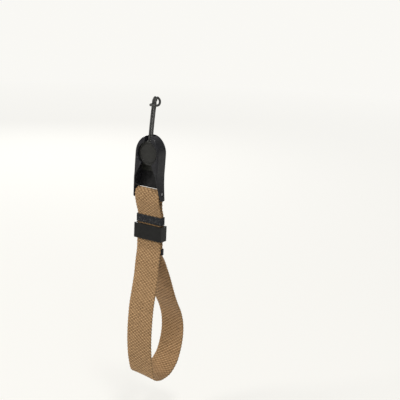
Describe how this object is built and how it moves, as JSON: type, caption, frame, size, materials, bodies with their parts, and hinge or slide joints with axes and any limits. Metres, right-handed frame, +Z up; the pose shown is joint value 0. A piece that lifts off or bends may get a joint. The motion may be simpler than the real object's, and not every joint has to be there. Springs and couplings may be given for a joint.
{
  "type": "camera wrist strap",
  "caption": "Wrist strap for a camera: a webbing loop with a sliding keeper, a quick-release link, and a disc on a cord that hitches to the camera.",
  "frame": {"origin": "middle of the eye in the cord's hitch, on the axis of the bar that it hangs on", "axes": "+X across the webbing and along that bar, +Y away from the viewer through the strap, +Z up"},
  "size_m": [0.0246, 0.044, 0.2076],
  "materials": {
    "cord": "braided, dark grey",
    "anchor": "matte moulded, dark grey",
    "housing": "satin moulded, black",
    "spring_plate": "satin, dark grey",
    "pin": "drawn",
    "webbing": "twill weave, tan",
    "wrap_tape": "woven tape, near black",
    "keeper": "satin moulded, black"
  },
  "bodies": {
    "anchor": {"anchor_cord": "cord", "anchor_cord_knot": "cord", "anchor_base": "anchor", "anchor_cap": "anchor"},
    "link": {"link_frame": "housing", "link_back_cover": "housing", "seat_spring_plate": "spring_plate", "crossbar_pin": "pin", "webbing": "webbing", "upper_wrap": "wrap_tape", "lower_wrap": "wrap_tape"},
    "keeper": {"keeper": "keeper"}
  },
  "joints": [
    {"name": "anchor_release", "type": "slide", "parent": "anchor", "child": "link", "axis": [0, 0, 1], "range_m": [0, 0.013]},
    {"name": "keeper_slide", "type": "slide", "parent": "link", "child": "keeper", "axis": [0, 0, -1], "range_m": [-0.0005, 0.0053]}
  ]
}
